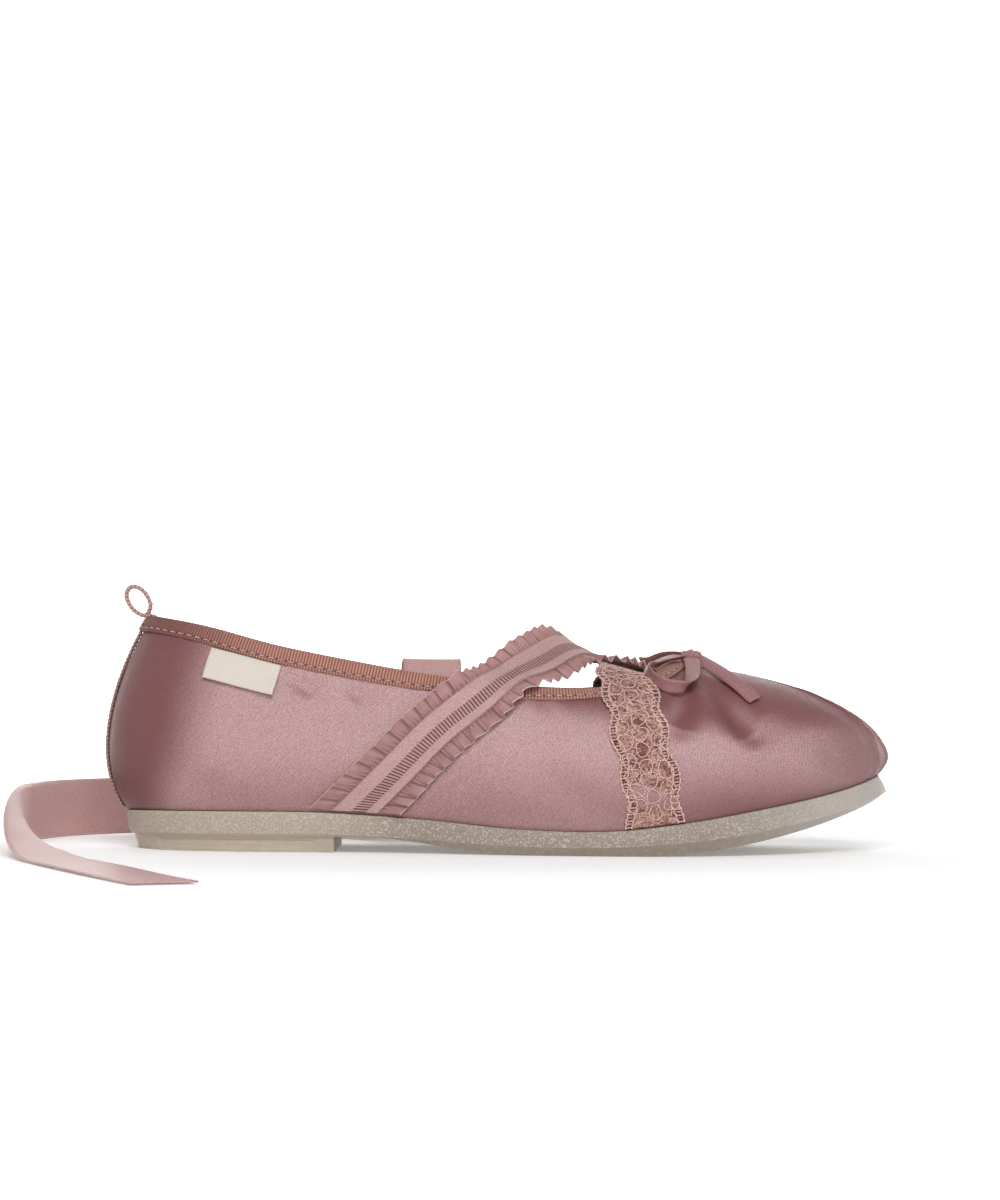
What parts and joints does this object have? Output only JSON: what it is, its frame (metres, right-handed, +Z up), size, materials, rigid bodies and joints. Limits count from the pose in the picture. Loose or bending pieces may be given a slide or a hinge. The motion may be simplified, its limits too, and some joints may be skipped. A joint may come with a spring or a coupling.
{
  "type": "ballet flat",
  "caption": "Satin ballet flat for the right foot with a bound collar, ruffled and lace instep straps, a throat bow, a heel loop and an ankle ribbon.",
  "frame": {"origin": "on the floor under the middle of the shoe's box, measured without the ankle ribbon", "axes": "+X to the toe, +Y to the inner (medial) side of the foot, +Z up"},
  "size_m": [0.2767, 0.2743, 0.084],
  "materials": {
    "rubber": "matte translucent grey-beige rubber",
    "heel_rubber": "matte yellowish rubber",
    "sock": "matte lining",
    "satin": "satin",
    "grosgrain": "ribbed tape",
    "braid": "braided tape",
    "elastic": "ruffled elastic",
    "lace": "elastic lace",
    "bow_tape": "narrow satin tape",
    "label": "woven tape",
    "ribbon": "satin ribbon"
  },
  "bodies": {
    "root": {"outsole": "rubber", "heel_block": "heel_rubber", "insole": "sock", "upper": "satin", "collar_binding": "grosgrain", "heel_tape": "braid", "pull_loop": "braid", "ruffle_strap": "elastic", "lace_strap": "lace", "bow": "bow_tape", "side_label": "label", "ankle_ribbon": "ribbon"}
  },
  "joints": []
}
